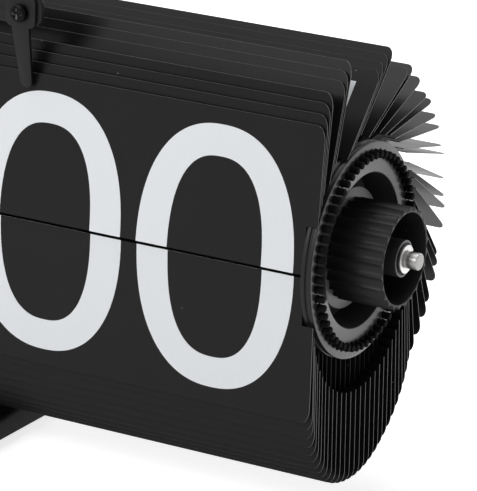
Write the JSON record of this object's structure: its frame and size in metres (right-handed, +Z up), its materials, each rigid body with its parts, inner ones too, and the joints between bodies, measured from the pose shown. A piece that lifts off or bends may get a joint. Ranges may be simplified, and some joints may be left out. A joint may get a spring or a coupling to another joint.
{
  "type": "table flip clock",
  "caption": "Split-flap table clock with an hour drum and a minute drum on one axle, carried by a column on a weighted foot and set by fluted end knobs.",
  "frame": {"origin": "centre of the foot pad's underside, on the table", "axes": "+X along the axle with the minute drum on +X, +Y to the back, +Z up; the numerals face -Y"},
  "size_m": [0.3638, 0.1286, 0.179],
  "materials": {
    "flap_black": "satin black sheet, both faces plain",
    "numeral_white": "flat white print",
    "disc_grey": "moulded grey, fine matte",
    "black_plastic": "moulded black, fine matte",
    "flange_grey": "moulded grey, slightly glossy",
    "column_black": "black powder coat",
    "steel": "turned bright steel",
    "brass": "turned brass",
    "gear_white": "natural acetal",
    "rubber": "black rubber",
    "board_green": "coated board",
    "cell_jacket": "plain printed jacket without words"
  },
  "bodies": {
    "stand": {"base_plate": "column_black", "base_pad": "rubber", "base_screws": "steel", "column_front_shell": "column_black", "column_rear_cover": "column_black", "column_screws": "steel", "battery_tray": "black_plastic", "battery_cells": "cell_jacket", "battery_contacts": "steel", "circuit_board": "board_green", "motor_body": "steel", "idler_pin": "steel", "axle": "steel", "axle_clips": "steel", "catch_bracket": "black_plastic", "bracket_screws": "column_black", "minute_catch_finger": "black_plastic", "hour_catch_finger": "black_plastic", "finger_screws": "column_black", "minute_bush": "brass", "hour_bush": "brass", "minute_front_upper_flap": "flap_black", "minute_upper_flaps": "flap_black", "minute_fan_flaps": "flap_black", "minute_hanging_flaps": "flap_black", "minute_upper_numerals": "numeral_white", "hour_front_upper_flap": "flap_black", "hour_upper_flaps": "flap_black", "hour_fan_flaps": "flap_black", "hour_hanging_flaps": "flap_black", "hour_upper_numerals": "numeral_white"},
    "minute_drum": {"minute_inner_disc": "disc_grey", "minute_outer_disc": "disc_grey", "minute_drum_core": "black_plastic", "minute_index_pegs": "black_plastic", "minute_friction_flange": "flange_grey", "minute_setting_knob": "black_plastic", "minute_knob_bush": "black_plastic", "minute_drive_wheel": "gear_white", "minute_pinion": "brass"},
    "minute_falling_leaf": {"minute_falling_flap": "flap_black", "minute_lower_numerals": "numeral_white"},
    "hour_drum": {"hour_inner_disc": "disc_grey", "hour_outer_disc": "disc_grey", "hour_drum_core": "black_plastic", "hour_index_pegs": "black_plastic", "hour_friction_flange": "flange_grey", "hour_setting_knob": "black_plastic", "hour_knob_bush": "black_plastic", "hour_wheel": "gear_white"},
    "hour_falling_leaf": {"hour_falling_flap": "flap_black", "hour_lower_numerals": "numeral_white"},
    "idler": {"idler_gear": "gear_white"},
    "motor_rotor": {"motor_pinion": "brass"},
    "battery_door": {"battery_cover": "column_black"}
  },
  "joints": [
    {"name": "minute_drum_turn", "type": "hinge", "parent": "stand", "child": "minute_drum", "pos_m": [0.0875, 0, 0.098], "axis": [1, 0, 0], "continuous": true},
    {"name": "hour_drum_turn", "type": "hinge", "parent": "stand", "child": "hour_drum", "pos_m": [-0.0875, 0, 0.098], "axis": [1, 0, 0], "continuous": true},
    {"name": "idler_turn", "type": "hinge", "parent": "stand", "child": "idler", "pos_m": [0.003, 0, 0.122], "axis": [1, 0, 0], "continuous": true},
    {"name": "motor_turn", "type": "hinge", "parent": "stand", "child": "motor_rotor", "pos_m": [0.008, -0.012, 0.07722], "axis": [1, 0, 0], "continuous": true},
    {"name": "minute_leaf_fall", "type": "hinge", "parent": "stand", "child": "minute_falling_leaf", "pos_m": [0.0875, -0.03492, 0.09562], "axis": [-1, 0, 0], "range_deg": [0, 140]},
    {"name": "hour_leaf_fall", "type": "hinge", "parent": "stand", "child": "hour_falling_leaf", "pos_m": [-0.0875, -0.03492, 0.09562], "axis": [-1, 0, 0], "range_deg": [0, 140]},
    {"name": "battery_door_slide", "type": "slide", "parent": "stand", "child": "battery_door", "axis": [0, 1, 0], "range_m": [0, 0.03]}
  ],
  "couplings": [
    {"joint": "hour_drum_turn", "follows": "minute_drum_turn", "ratio": 0.083333},
    {"joint": "idler_turn", "follows": "minute_drum_turn", "ratio": -0.33333},
    {"joint": "motor_turn", "follows": "minute_drum_turn", "ratio": -4}
  ]
}
